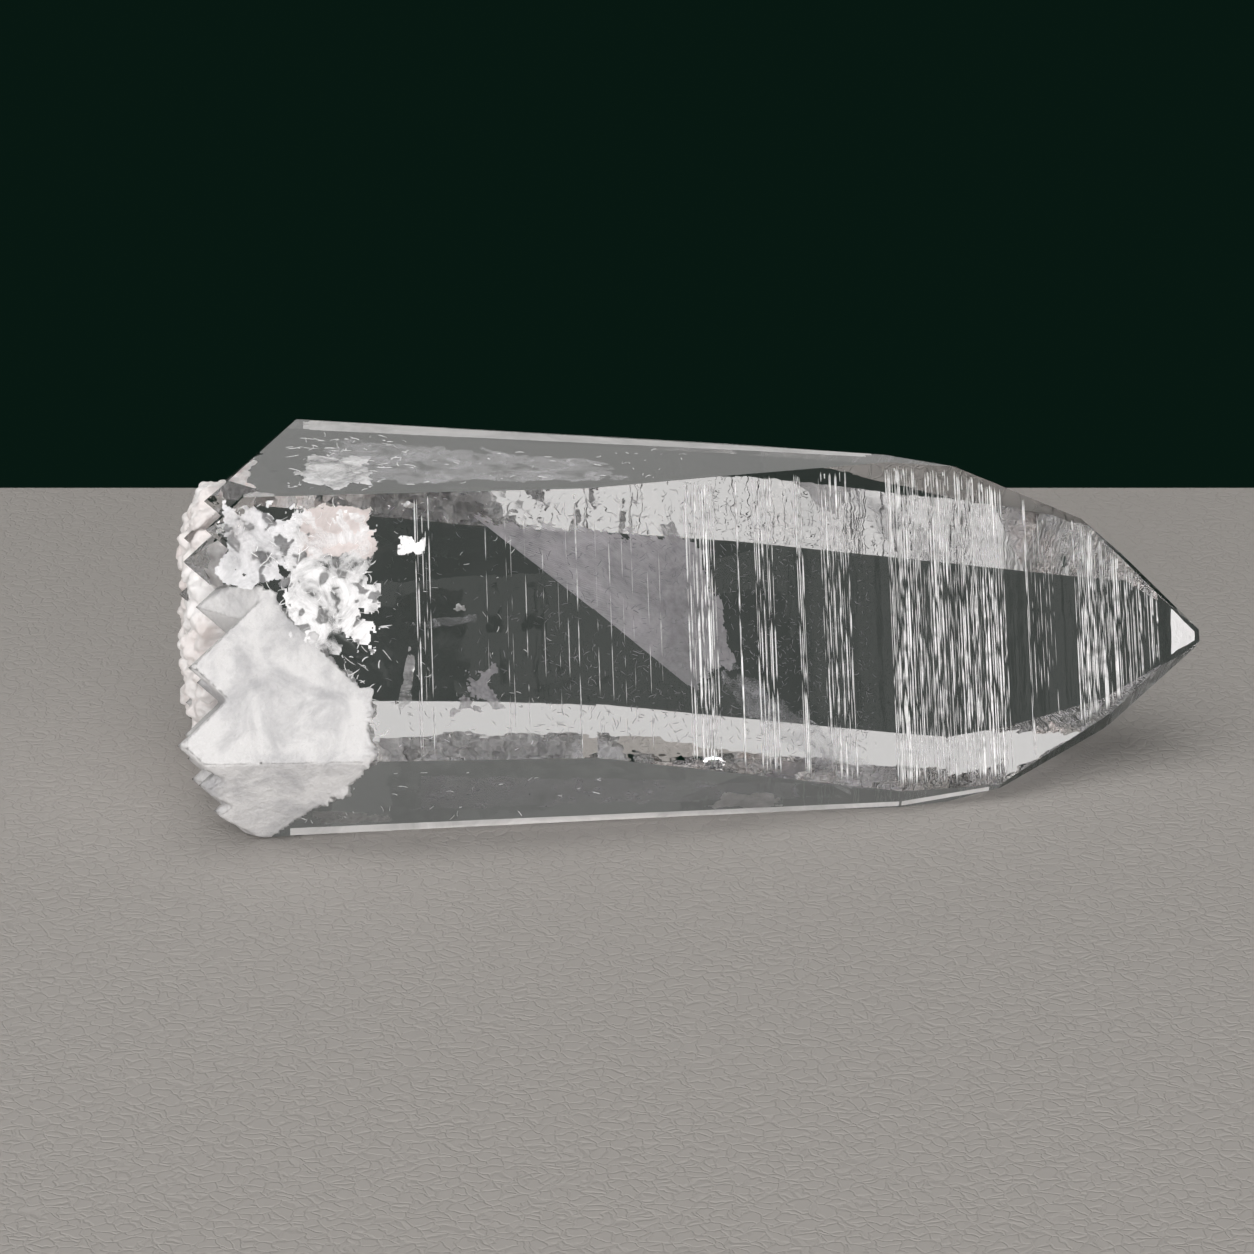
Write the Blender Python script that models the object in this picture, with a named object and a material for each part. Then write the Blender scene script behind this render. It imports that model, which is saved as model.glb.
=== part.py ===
"""A clear quartz crystal point that lies on one of its prism faces, as one grown piece.

Metres, +Z up. The crystal's long axis, its c axis, runs along +X to the tip. The origin is
under the middle of the whole piece, on the surface that it rests on.

The body is a six-sided prism whose faces keep the 60 degree turns of quartz. Each face has a
profile, its distance from the c axis along the length, so the faces taper, wedge out and close
into the tip on their own. All but the top and the base carry growth ledges. The other end is
a cluster of small parallel pyramids, cut by one large slanted face and grown over by a knobbly
crust. Everything is joined into one solid.
"""

import math
import random

import bmesh
import bpy
from mathutils import Vector

MM = 0.001

# Driving dimensions, in millimetres. FRAME_SHIFT centres the finished piece over the origin.
FRAME_SHIFT = (-0.132, 0.628)
AXIS_Y = 1.5
AXIS_Z = 11.0
TIP_X = 51.0
BODY_START_X = -56.0
STATION_STEP = 1.5
STATION_GAP = 0.03
SECTION_REACH = 99.0
MERGE_DISTANCE = 0.02

# Outward direction of each prism face, in degrees from -Y towards +Z.
FACE_ANGLES = {
    "front": 30.0,
    "top": 90.0,
    "top_back": 150.0,
    "back": 210.0,
    "base": 270.0,
    "low_front": 330.0,
}

# (x, distance from the c axis) of each face, from the broken end to the tip.
FACE_PROFILES = {
    "front": [(-56.0, 22.75), (-10.7, 18.8), (46.6, 3.8), (TIP_X, 0.02)],
    "top": [
        (-56.0, 21.5), (3.3, 20.0), (19.3, 19.5), (33.3, 17.3),
        (37.3, 14.2), (44.3, 7.4), (49.1, 2.8), (TIP_X, 0.8),
    ],
    "top_back": [
        (-56.0, 23.6), (3.3, 13.7), (18.3, 10.8), (43.3, 5.9), (TIP_X, 0.9),
    ],
    "back": [(-56.0, 17.0), (-20.0, 12.8), (-4.0, 9.8), (40.0, 2.6), (TIP_X, 0.35)],
    "base": [
        (-56.0, AXIS_Z), (-37.0, AXIS_Z), (-31.0, 10.4), (8.0, 10.4), (14.0, AXIS_Z),
        (24.0, AXIS_Z), (30.0, 9.8), (40.5, 6.6), (TIP_X, 0.75),
    ],
    "low_front": [(-56.0, 23.4), (19.3, 19.8), (29.3, 17.8), (41.3, 9.8), (TIP_X, 1.0)],
}

# Growth ledges: (first x, last x, how many, drop). A single one has equal ends.
LEDGE_WIDTH = 0.12
FIRST_RISE = 8.0
LAST_FALL = 2.0
LEDGE_GROUPS = {
    "front": [
        (-27.4, -26.0, 2, 0.12),
        (-19.0, -13.2, 3, 0.10),
        (-5.6, -5.6, 1, 0.16),
        (-0.9, 1.5, 4, 0.14),
        (3.9, 6.9, 3, 0.16),
        (10.1, 10.1, 1, 0.24),
        (12.7, 15.1, 4, 0.16),
        (19.2, 30.6, 16, 0.15),
        (33.4, 36.0, 2, 0.16),
        (38.2, 45.6, 10, 0.12),
    ],
    "top_back": [(-36.0, -20.0, 4, 0.16), (-8.0, 14.0, 7, 0.18), (24.0, 40.0, 7, 0.14)],
    "back": [(-30.0, -18.0, 3, 0.16), (-4.0, 20.0, 6, 0.14), (30.0, 43.0, 5, 0.14)],
    "low_front": [(-21.0, -17.0, 2, 0.10), (6.0, 24.0, 4, 0.12)],
}

# A rhombohedral face leans this far from the c axis.
PYRAMID_TAN = math.tan(math.radians(38.2))
PYRAMID_LENGTH = 120.0

# Pyramids of the base end: named ones at the visible corners, then a jittered net of small ones.
CORNER_PYRAMIDS = [
    (-50.7, -23.0, 11.4),
    (-48.8, -21.6, 6.8),
    (-47.5, -19.8, 3.4),
    (-45.8, -16.6, 0.9),
    (-49.5, -19.3, 17.9),
    (-47.6, -12.3, 29.3),
]
PYRAMID_NET_STEP = 6.2
PYRAMID_NET_ROWS = range(-2, 5)
PYRAMID_NET_COLUMNS = range(-4, 5)
PYRAMID_NET_DROP = 1.5
PYRAMID_NEAREST = 0.6 * PYRAMID_NET_STEP
PYRAMID_NET_MARGIN = 1.0
PYRAMID_FRONT_MARGIN = 5.5
PYRAMID_NET_X = -49.6
PYRAMID_NET_JITTER = 1.1

# The large slanted face of the base end: three points on it.
SLANT_POINTS = [(-39.0, 12.7, 31.9), (-48.2, -10.3, 31.0), (-47.2, 17.7, 23.3)]
SLANT_REACH = 60.0

# The crust over the rear of the base end.
CRUST_RINGS = [(-49.6, 0.62), (-48.4, 0.92), (-42.0, 1.0)]
CRUST_CENTRE = (4.5, 15.0)
CRUST_HALF_Y = 13.2
CRUST_HALF_Z = 12.2
CRUST_SIDES = 18
CRUST_WAVE = 0.07
CRUST_LOBES = 3
CRUST_RIM = 0.75
CRUST_RIM_DEPTH = 6.0
KNOB_COUNT = 80
KNOB_RADIUS = (1.1, 2.1)
KNOB_RISE = (0.2, 1.0)
KNOB_DEPTH = (0.7, 0.95)
KNOB_SPREAD = (0.85, 1.2)
KNOB_SWELL = (0.88, 1.12)
KNOB_ROOT = 3.0


def place(x, y, z):
    """A point of the design, in millimetres, as a point of the finished piece's frame."""
    return Vector((x + FRAME_SHIFT[0], y + FRAME_SHIFT[1], z)) * MM


def face_direction(face):
    """The outward direction of a prism face, as (y, z)."""
    angle = math.radians(FACE_ANGLES[face])
    return (-math.cos(angle), math.sin(angle))


def ledges_of(face):
    """All ledges of a face as sorted (x, drop) pairs."""
    found = []
    for first, last, count, drop in LEDGE_GROUPS.get(face, []):
        for i in range(count):
            share = i / max(1, count - 1)
            found.append((first + share * (last - first), drop))
    return sorted(found)


def profile_distance(face, x):
    """Distance of a face from the c axis at x, before its ledges."""
    knots = FACE_PROFILES[face]
    for (x0, d0), (x1, d1) in zip(knots, knots[1:]):
        if x <= x1:
            return d0 + (d1 - d0) * (x - x0) / (x1 - x0)
    return knots[-1][1]


def ledge_offset(ledges, x):
    """Saw-tooth rise and fall of the ledges at x: a slow rise to each edge, then a short drop."""
    if x < ledges[0][0] - FIRST_RISE:
        return 0.0
    for i, (edge, drop) in enumerate(ledges):
        before = ledges[i - 1][0] + LEDGE_WIDTH if i else edge - FIRST_RISE
        start = -0.5 * ledges[i - 1][1] if i else 0.0
        if before <= x <= edge:
            return start + (0.5 * drop - start) * (x - before) / (edge - before)
        if edge < x < edge + LEDGE_WIDTH:
            return drop * (0.5 - (x - edge) / LEDGE_WIDTH)
    last_x, last_drop = ledges[-1]
    fade = max(0.0, 1.0 - (x - last_x - LEDGE_WIDTH) / LAST_FALL)
    return -0.5 * last_drop * fade


def face_distance(face, x, ledges):
    """Distance of a face from the c axis at x, with its ledges."""
    distance = profile_distance(face, x)
    if ledges.get(face):
        distance += ledge_offset(ledges[face], x)
    return max(distance, 0.01)


def clip(points, tags, direction, distance, tag):
    """Cut a polygon of the cross-section at one face. tags[i] names the edge after point i."""
    kept = []
    kept_tags = []
    for i, point in enumerate(points):
        following = points[(i + 1) % len(points)]
        here = point[0] * direction[0] + point[1] * direction[1] - distance
        there = following[0] * direction[0] + following[1] * direction[1] - distance
        if here <= 0.0:
            kept.append(point)
            kept_tags.append(tags[i])
        if (here <= 0.0) == (there <= 0.0):
            continue
        share = here / (here - there)
        kept.append(tuple(a + share * (b - a) for a, b in zip(point, following)))
        kept_tags.append(tag if here <= 0.0 else tags[i])
    return kept, kept_tags


def cross_section(x, ledges):
    """Six corners of the section at x. Corner i lies between face i and face i + 1.

    A face that has wedged out keeps both corners at one point, so all sections match.
    """
    names = list(FACE_ANGLES)
    size = SECTION_REACH
    points = [(-size, -size), (-size, size), (size, size), (size, -size)]
    tags = [None] * 4
    for i, face in enumerate(names):
        points, tags = clip(points, tags, face_direction(face), face_distance(face, x, ledges), i)
    corners = [None] * 6
    for i, point in enumerate(points):
        face = tags[i - 1]
        while face != tags[i]:
            corners[face] = place(x, AXIS_Y + point[0], AXIS_Z + point[1])
            face = (face + 1) % 6
    return corners


def stations(ledges):
    """All x where a section is needed: profile knots, ledge edges and an even spacing."""
    wanted = {knot[0] for knots in FACE_PROFILES.values() for knot in knots}
    for face_ledges in ledges.values():
        for edge, _ in face_ledges:
            wanted.update((edge, edge + LEDGE_WIDTH))
    count = int((TIP_X - BODY_START_X) / STATION_STEP)
    wanted.update(BODY_START_X + i * STATION_STEP for i in range(count))
    ordered = []
    for x in sorted(wanted):
        if not ordered or x - ordered[-1] > STATION_GAP:
            ordered.append(x)
    return ordered


def mesh_object(name, bm):
    """A mesh object from a bmesh, with outward faces."""
    bmesh.ops.recalc_face_normals(bm, faces=bm.faces)
    mesh = bpy.data.meshes.new(name)
    bm.to_mesh(mesh)
    bm.free()
    obj = bpy.data.objects.new(name, mesh)
    bpy.context.collection.objects.link(obj)
    return obj


def crystal_body():
    """The prism with its ledges and its tip, lofted through the sections."""
    ledges = {face: ledges_of(face) for face in LEDGE_GROUPS}
    bm = bmesh.new()
    rings = []
    for x in stations(ledges):
        rings.append([bm.verts.new(corner) for corner in cross_section(x, ledges)])
    for ring, following in zip(rings, rings[1:]):
        for i in range(6):
            bm.faces.new((ring[i - 1], ring[i], following[i], following[i - 1]))
    bm.faces.new(rings[0])
    bm.faces.new(list(reversed(rings[-1])))
    bmesh.ops.remove_doubles(bm, verts=bm.verts, dist=MERGE_DISTANCE * MM)
    return mesh_object("quartz_point", bm)


def pyramid(name, apex):
    """A long six-sided pyramid that opens towards +X, with its sides parallel to the prism."""
    bm = bmesh.new()
    top = bm.verts.new(place(*apex))
    reach = PYRAMID_LENGTH * PYRAMID_TAN / math.cos(math.radians(30.0))
    ring = []
    for angle in FACE_ANGLES.values():
        corner = math.radians(angle + 30.0)
        y = apex[1] - reach * math.cos(corner)
        z = apex[2] + reach * math.sin(corner)
        ring.append(bm.verts.new(place(apex[0] + PYRAMID_LENGTH, y, z)))
    for i in range(6):
        bm.faces.new((top, ring[i - 1], ring[i]))
    bm.faces.new(ring)
    return mesh_object(name, bm)


def inside_prism(x, y, z):
    """True where a point of the net lies well inside every prism face."""
    for face in FACE_ANGLES:
        direction = face_direction(face)
        reach = (y - AXIS_Y) * direction[0] + (z - AXIS_Z) * direction[1]
        margin = PYRAMID_FRONT_MARGIN if face == "front" else PYRAMID_NET_MARGIN
        if reach > profile_distance(face, x) - margin:
            return False
    return True


def pyramid_apexes():
    """Apexes of the base end: the named corners and a jittered net between them."""
    random.seed(11)
    apexes = list(CORNER_PYRAMIDS)
    row_step = PYRAMID_NET_STEP * math.cos(math.radians(30.0))
    for row in PYRAMID_NET_ROWS:
        for column in PYRAMID_NET_COLUMNS:
            y = AXIS_Y + (column + 0.5 * (row % 2)) * PYRAMID_NET_STEP
            z = AXIS_Z + row * row_step - PYRAMID_NET_DROP
            y += random.uniform(-PYRAMID_NET_JITTER, PYRAMID_NET_JITTER)
            z += random.uniform(-PYRAMID_NET_JITTER, PYRAMID_NET_JITTER)
            x = PYRAMID_NET_X + random.uniform(-PYRAMID_NET_JITTER, PYRAMID_NET_JITTER)
            near = min(math.dist((y, z), apex[1:]) for apex in apexes)
            if inside_prism(x, y, z) and near > PYRAMID_NEAREST:
                apexes.append((x, y, z))
    return apexes


def slant_plane():
    """A corner of the large slanted face of the base end, a point along it, and its normal."""
    corner, along, down = (place(*point) for point in SLANT_POINTS)
    normal = (along - corner).cross(down - corner).normalized()
    if normal.z < 0.0:
        normal.negate()
    return corner, along, normal


def slant_cutter():
    """A block whose lower side is the large slanted face of the base end."""
    corner, along, normal = slant_plane()
    side = (along - corner).normalized()
    across = normal.cross(side)
    bm = bmesh.new()
    reach = SLANT_REACH * MM
    layers = []
    for height in (0.0, reach):
        middle = corner + normal * height
        layers.append([
            bm.verts.new(middle + side * (a * reach) + across * (b * reach))
            for a, b in ((-1, -1), (1, -1), (1, 1), (-1, 1))
        ])
    bm.faces.new(layers[0])
    bm.faces.new(list(reversed(layers[1])))
    for i in range(4):
        bm.faces.new((layers[0][i - 1], layers[0][i], layers[1][i], layers[1][i - 1]))
    return mesh_object("slant_cutter", bm)


def crust_bed():
    """The even layer under the knobs: a low drum over the rear of the base end."""
    bm = bmesh.new()
    rings = []
    for x, size in CRUST_RINGS:
        ring = []
        for i in range(CRUST_SIDES):
            angle = 2.0 * math.pi * (i + 0.5) / CRUST_SIDES
            wave = size * (1.0 + CRUST_WAVE * math.sin(CRUST_LOBES * angle))
            y = CRUST_CENTRE[0] + wave * CRUST_HALF_Y * math.cos(angle)
            z = CRUST_CENTRE[1] + wave * CRUST_HALF_Z * math.sin(angle)
            ring.append(bm.verts.new(place(x, y, z)))
        rings.append(ring)
    for ring, following in zip(rings, rings[1:]):
        for i in range(CRUST_SIDES):
            bm.faces.new((ring[i - 1], ring[i], following[i], following[i - 1]))
    bm.faces.new(rings[0])
    bm.faces.new(list(reversed(rings[-1])))
    return mesh_object("crust_bed", bm)


def knob(name, centre, radius):
    """One rounded lump of the crust, uneven outside and drawn out to a root inside."""
    bm = bmesh.new()
    bmesh.ops.create_icosphere(bm, subdivisions=1, radius=radius * MM)
    depth = random.uniform(*KNOB_DEPTH)
    stretch = (depth, random.uniform(*KNOB_SPREAD), random.uniform(*KNOB_SPREAD))
    for vert in bm.verts:
        root = KNOB_ROOT * MM if vert.co.x > 0.0 else 0.0
        swell = random.uniform(*KNOB_SWELL)
        vert.co = Vector(a * b for a, b in zip(vert.co, stretch)) * swell + centre
        vert.co.x += root
    return mesh_object(name, bm)


def crust_knobs():
    """Lumps laid in a sunflower spiral over the crust's bed, denser than they are wide."""
    random.seed(5)
    turn = math.pi * (3.0 - math.sqrt(5.0))
    corner, _, normal = slant_plane()
    knobs = []
    for i in range(KNOB_COUNT):
        share = math.sqrt((i + 0.5) / KNOB_COUNT)
        y = CRUST_CENTRE[0] + share * CRUST_HALF_Y * math.cos(i * turn)
        z = CRUST_CENTRE[1] + share * CRUST_HALF_Z * math.sin(i * turn)
        x = CRUST_RINGS[1][0] - random.uniform(*KNOB_RISE)
        x += CRUST_RIM_DEPTH * max(0.0, share - CRUST_RIM)
        radius = random.uniform(*KNOB_RADIUS)
        centre = place(x, y, z)
        over_slant = (centre - corner).dot(normal)
        if over_slant > 0.0:
            centre -= normal * over_slant
        knobs.append(knob(f"knob_{i}", centre, radius))
    return knobs


def combine(obj, operation, others, label):
    """Join, cut or intersect an object with others by an exact Boolean."""
    group = bpy.data.collections.new(label)
    bpy.context.scene.collection.children.link(group)
    for other in others:
        group.objects.link(other)
        other.hide_render = True
        other.display_type = "WIRE"
    modifier = obj.modifiers.new(label, "BOOLEAN")
    modifier.operation = operation
    modifier.solver = "EXACT"
    modifier.operand_type = "COLLECTION"
    modifier.collection = group


def quartz_material():
    """Clear, colourless quartz."""
    material = bpy.data.materials.new("clear_quartz")
    material.use_nodes = True
    shader = material.node_tree.nodes["Principled BSDF"]
    shader.inputs["Base Color"].default_value = (0.93, 0.93, 0.92, 1.0)
    shader.inputs["Roughness"].default_value = 0.03
    shader.inputs["Metallic"].default_value = 0.0
    shader.inputs["IOR"].default_value = 1.544
    shader.inputs["Transmission Weight"].default_value = 1.0
    return material


def build():
    """Clear the scene and model the crystal."""
    for old in list(bpy.data.objects):
        bpy.data.objects.remove(old, do_unlink=True)
    crystal = crystal_body()
    pyramids = [pyramid(f"pyramid_{i}", apex) for i, apex in enumerate(pyramid_apexes())]
    combine(pyramids[0], "UNION", pyramids[1:], "more_pyramids")
    combine(crystal, "INTERSECT", pyramids[:1], "base_end")
    combine(crystal, "UNION", [crust_bed()], "bed")
    combine(crystal, "DIFFERENCE", [slant_cutter()], "slanted_face")
    combine(crystal, "UNION", crust_knobs(), "knobs")
    crystal.data.materials.append(quartz_material())


build()
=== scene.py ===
"""Looks of a clear quartz crystal point that lies on one prism face.

Millimetres in the constants, metres in the scene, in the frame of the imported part: +X along the
crystal to its tip, +Y to the back, +Z up, origin on the surface under the middle of the crystal.
"""

import math
import random

import bmesh
import bpy
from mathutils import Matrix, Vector, noise
from mathutils.bvhtree import BVHTree


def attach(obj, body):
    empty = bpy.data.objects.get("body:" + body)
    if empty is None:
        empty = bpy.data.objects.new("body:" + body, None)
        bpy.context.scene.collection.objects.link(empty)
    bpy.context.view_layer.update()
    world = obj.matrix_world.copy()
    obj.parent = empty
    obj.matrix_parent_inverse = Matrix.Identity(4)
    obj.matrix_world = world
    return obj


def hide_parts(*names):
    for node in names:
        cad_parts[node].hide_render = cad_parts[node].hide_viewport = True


MM = 0.001
NODE = "quartz_point"

# The crystal's own measures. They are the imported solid's, except that the top and back profiles
# here have one point fewer each, the base is hollowed by a cutter, and thin growth lines on the
# front face stand for the solid's growth ledges. SHIFT takes them to the frame.
SHIFT = (-0.132, 0.628, 0.0)
AXIS = (1.5, 11.0)
START_X = -56.0
TIP_X = 51.0

# Outward direction of each prism face, in degrees from -Y towards +Z, and its profile: (x, distance
# from the c axis). Each stretch of a profile is one flat face.
FACES = {
    "front": (30.0, [(-56.0, 22.75), (-10.7, 18.8), (46.6, 3.8), (TIP_X, 0.02)]),
    "top": (90.0, [
        (-56.0, 21.5), (3.3, 20.0), (19.3, 19.5), (33.3, 17.3), (37.3, 14.2), (44.3, 7.4), (TIP_X, 0.8),
    ]),
    "top_back": (150.0, [(-56.0, 23.6), (3.3, 13.7), (18.3, 10.8), (43.3, 5.9), (TIP_X, 0.9)]),
    "back": (210.0, [(-56.0, 17.0), (-20.0, 12.8), (40.0, 2.6), (TIP_X, 0.35)]),
    "base": (270.0, [(-56.0, 11.0), (24.0, 11.0), (30.0, 9.8), (40.5, 6.6), (TIP_X, 0.75)]),
    "low_front": (330.0, [(-56.0, 23.4), (19.3, 19.8), (29.3, 17.8), (41.3, 9.8), (TIP_X, 1.0)]),
}
BLOCK_REACH = 60.0

# The base face is hollow by this much between its two ends.
HOLLOW_X = (-40.0, -12.0, 18.0)
HOLLOW_RISE = 0.65

# Small parallel pyramids close the broken end; a rhombohedral face leans 38.2 degrees from the axis.
PYRAMID_TAN = math.tan(math.radians(38.2))
PYRAMID_LENGTH = 120.0
CORNER_PYRAMIDS = [
    (-50.7, -23.0, 11.4), (-48.8, -21.6, 6.8), (-47.5, -19.8, 3.4),
    (-45.8, -16.6, 0.9), (-49.5, -19.3, 17.9), (-47.6, -12.3, 29.3),
]
NET_STEP = 6.2
NET_ROWS = range(-2, 5)
NET_COLUMNS = range(-4, 5)
NET_DROP = 1.5
NET_NEAREST = 0.6
NET_X = -49.6
NET_JITTER = 1.1
NET_MARGIN = 1.0
NET_FRONT_MARGIN = 5.5

# The large slanted face of the broken end: three points on it.
SLANT_POINTS = [(-39.0, 12.7, 31.9), (-48.2, -10.3, 31.0), (-47.2, 17.7, 23.3)]

# Growth lines across the front face: (first x, last x, how many, height, share that is strong).
GROWTH_LINES = [
    (-27.8, -26.0, 5, 0.05, 0.7),
    (-21.3, -3.6, 14, 0.02, 0.1),
    (-1.3, 1.5, 14, 0.06, 0.7),
    (3.6, 4.0, 2, 0.04, 0.5),
    (5.4, 7.3, 8, 0.05, 0.7),
    (9.7, 10.4, 4, 0.06, 1.0),
    (12.1, 15.1, 15, 0.05, 0.6),
    (19.0, 30.8, 80, 0.05, 0.6),
    (32.8, 35.8, 10, 0.04, 0.4),
    (38.0, 46.8, 60, 0.05, 0.6),
]
LINE_WIDTH = (0.04, 0.13)
LINE_MARGIN = 0.3
LINE_HEIGHTS = (0.6, 1.2)
DASH_LENGTH = (0.8, 6.0)
DASH_GAP = (0.05, 1.6)
LINE_SINK = 0.03
LINE_SWAY = 0.012
DASH_STEP = 0.8
SHORTEST_DASH = 0.3

# A strong line runs over nearly the whole face and a weak one over part of it: how far from the
# edges it may start and stop, and how its dash length, width and gap are scaled.
STRONG_LINE = (0.4, 0.4, 1.6, 1.3, 0.5)
WEAK_LINE = (8.0, 6.0, 1.0, 0.8, 1.5)

# The milky core of the broken end: how far it lies under the faces (it stands a hair proud of
# them), its cells, the relief of the side that faces the tip, and the planes that bound it, as
# (face, (x, rise), (x, rise)).
CORE_INSET = -0.05
CORE_VOXEL = 0.24
CORE_RELIEF = 1.6
CORE_RELIEF_SIZE = 4.0
CORE_INNER_SIDE = 0.3
CORE_CUTS = [
    ("front", (-46.0, 3.9), (-42.5, 3.4)),
    ("front", (-42.5, 3.4), (-32.4, -7.2)),
    ("front", (-32.4, -7.2), (-32.8, -13.6)),
    ("low_front", (-32.8, 9.0), (-41.5, 0.6)),
]

# The crust over the rear of the broken end.
CRUST_CENTRE = (4.5, 15.0)
CRUST_HALF = (13.4, 12.4)
CRUST_X = -48.3
CRUST_RIM = 0.75
CRUST_RIM_DEPTH = 6.0
CRUST_ROOT = 2.5
CRUST_KNOBS = 420
CRUST_RADIUS = (0.55, 1.45)
CRUST_RISE = (0.0, 1.1)
CRUST_VOXEL = 0.22
CRUST_SMOOTHING = 3
CRUST_GRAIN = [(1.6, 0.5), (0.8, 0.35), (0.35, 0.14)]

# Sheets that lie in or on the quartz: veils, patches, fractured skin, and two white rims that are
# painted highlights along edges of the crystal. Each follows a face, with four corners as
# (x, rise, depth), its relief in mm, its material, and how ragged its outline is (the first side
# stays straight where the last value is True).
SHEETS = {
    "pink_patch": (
        "front",
        [(-38.8, 5.6, -0.02), (-31.0, 5.8, -0.02),
         (-30.9, 11.5, -0.02), (-38.8, 11.7, -0.02)],
        0.02, "pink_skin", 0.16, False,
    ),
    "pale_skin": (
        "front",
        [(-40.8, -3.5, -0.03), (-31.4, -4.6, -0.03),
         (-30.6, 11.5, -0.03), (-41.5, 11.8, -0.03)],
        0.12, "fractured_skin", 0.16, False,
    ),
    "corner_skin": (
        "front",
        [(-48.0, 3.6, -0.03), (-39.4, 2.4, -0.03),
         (-38.0, 11.8, -0.03), (-46.0, 12.0, -0.03)],
        0.12, "thin_skin", 0.2, False,
    ),
    "top_skin": (
        "top",
        [(-40.5, -11.0, -0.03), (-30.4, -10.4, -0.03),
         (-31.6, -0.5, -0.03), (-37.4, 1.4, -0.03)],
        0.15, "fractured_skin", 0.2, False,
    ),
    "diagonal_veil": (
        "front",
        [(-22.6, 10.6, 0.5), (-1.0, -6.8, 2.6),
         (3.2, -4.0, 4.6), (0.6, 8.6, 4.6)],
        0.12, "grey_veil", 0.08, True,
    ),
    "low_veil": (
        "front",
        [(-1.2, -6.0, 1.6), (15.0, -17.0, 2.4),
         (17.0, -14.0, 5.0), (2.0, -3.0, 4.0)],
        0.12, "faint_veil", 0.2, False,
    ),
    "lilac_flake": (
        "front",
        [(-25.0, -9.6, 0.8), (-19.4, -8.6, 1.4),
         (-20.0, -3.6, 2.4), (-23.6, -5.0, 1.6)],
        0.4, "grey_veil", 0.3, False,
    ),
    "top_streak": (
        "top",
        [(-22.5, 5.0, 0.8), (-12.5, -7.0, 0.8),
         (-11.5, -6.0, 2.2), (-21.5, 6.0, 2.2)],
        0.15, "faint_veil", 0.3, False,
    ),
    "white_blob": (
        "front",
        [(-29.4, 6.0, -0.1), (-26.8, 5.8, -0.1),
         (-26.6, 7.9, -0.1), (-29.2, 8.1, -0.1)],
        0.5, "white_skin", 0.6, False,
    ),
    "edge_scales": (
        "front",
        [(-31.0, 10.5, -0.1), (-25.4, 10.6, -0.1),
         (-25.4, 11.5, -0.1), (-31.0, 11.7, -0.1)],
        0.4, "fractured_skin", 0.5, False,
    ),
    "pale_spot": (
        "front",
        [(-24.6, 0.6, 4.0), (-22.4, 0.8, 4.0),
         (-22.2, 2.4, 4.0), (-24.4, 2.2, 4.0)],
        0.4, "white_skin", 0.4, False,
    ),
    "pale_streak": (
        "front",
        [(-29.0, -0.9, 3.0), (-20.6, -0.1, 3.0),
         (-20.8, 1.0, 3.0), (-28.8, 0.0, 3.0)],
        0.3, "faint_veil", 0.4, False,
    ),
    "white_crack": (
        "front",
        [(-30.0, -9.6, 0.2), (-28.2, -9.4, 0.2),
         (-27.9, -2.6, 0.2), (-28.5, -2.4, 0.2)],
        0.4, "fractured_skin", 0.3, False,
    ),
    "tip_skin": (
        "front",
        [(47.9, -2.3, -0.02), (50.8, -0.5, -0.02),
         (50.8, 0.4, -0.02), (48.1, 2.5, -0.02)],
        0.02, "white_skin", 0.03, False,
    ),
    # A white rim along the top face's rear edge: painted highlight, not a skin of the quartz.
    "top_rim_light": (
        "top",
        [(-38.6, 8.4, -0.02), (18.0, 0.2, -0.02),
         (18.0, 1.2, -0.02), (-38.6, 11.5, -0.02)],
        0.01, "painted_rim_light", 0.02, False,
    ),
    # A white rim along the low front face: painted highlight, not a skin of the quartz.
    "foot_rim_light": (
        "low_front",
        [(-41.0, 0.5, -0.02), (29.0, -1.3, -0.02),
         (29.0, -0.7, -0.02), (-41.0, 1.6, -0.02)],
        0.01, "painted_rim_light", 0.02, False,
    ),
    "low_streak": (
        "low_front",
        [(-0.5, 0.2, 0.3), (8.5, -0.4, 0.3),
         (7.5, 1.8, 0.6), (1.5, 2.6, 0.6)],
        0.1, "soft_white", 0.2, False,
    ),
    "foot_cloud": (
        "low_front",
        [(-38.5, 1.6, 0.3), (-30.0, 1.4, 0.3),
         (-31.0, 3.2, 0.6), (-38.0, 3.6, 0.6)],
        0.1, "soft_white", 0.2, False,
    ),
    "low_cloud": (
        "low_front",
        [(-30.0, 2.4, 1.0), (14.0, 0.2, 1.0),
         (12.0, 2.4, 1.6), (-30.0, 8.0, 1.6)],
        0.1, "faint_veil", 0.1, False,
    ),
    "top_cloud": (
        "top",
        [(-36.0, -9.0, 0.6), (-6.0, -7.0, 0.6),
         (-8.0, -0.5, 1.0), (-37.0, 7.0, 1.0)],
        0.1, "faint_veil", 0.1, False,
    ),
}
SHEET_CELLS = 90
SHEET_THICKNESS = 0.03
SHEET_FOLD = 1.2
SHEET_FINE_FOLD = 0.4
SHEET_FINE_SHARE = 0.4
SHEET_TEAR = 2.0

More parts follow.
